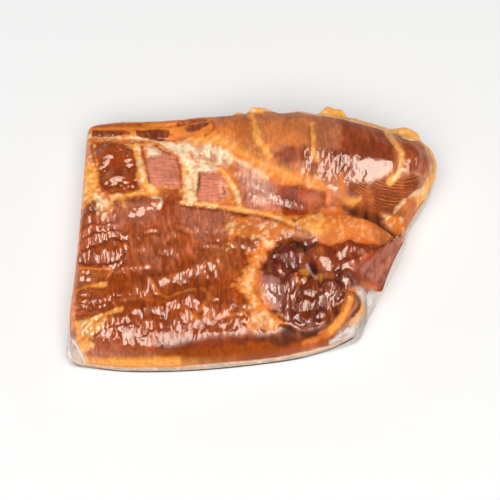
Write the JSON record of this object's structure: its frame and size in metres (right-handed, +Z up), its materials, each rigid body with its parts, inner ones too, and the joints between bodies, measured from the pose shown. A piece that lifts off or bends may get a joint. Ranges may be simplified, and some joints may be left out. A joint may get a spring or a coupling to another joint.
{
  "type": "slab bacon",
  "caption": "Slab of smoked pork belly with the thick end of the loin muscle along one side, sealed skin-tight in clear film.",
  "frame": {"origin": "on the surface that the slab lies on, under the middle of its box", "axes": "+X along the slab's long side towards the thick end of the loin, +Y from the front edge to the loin side, +Z up out of the slab"},
  "size_m": [0.2464, 0.1802, 0.0641],
  "materials": {
    "smoked_meat": "smoked lean and fat, moist and glossy under film",
    "clear_film": "clear, glossy, skin-tight"
  },
  "bodies": {
    "root": {"bacon_slab": "smoked_meat"}
  },
  "joints": []
}
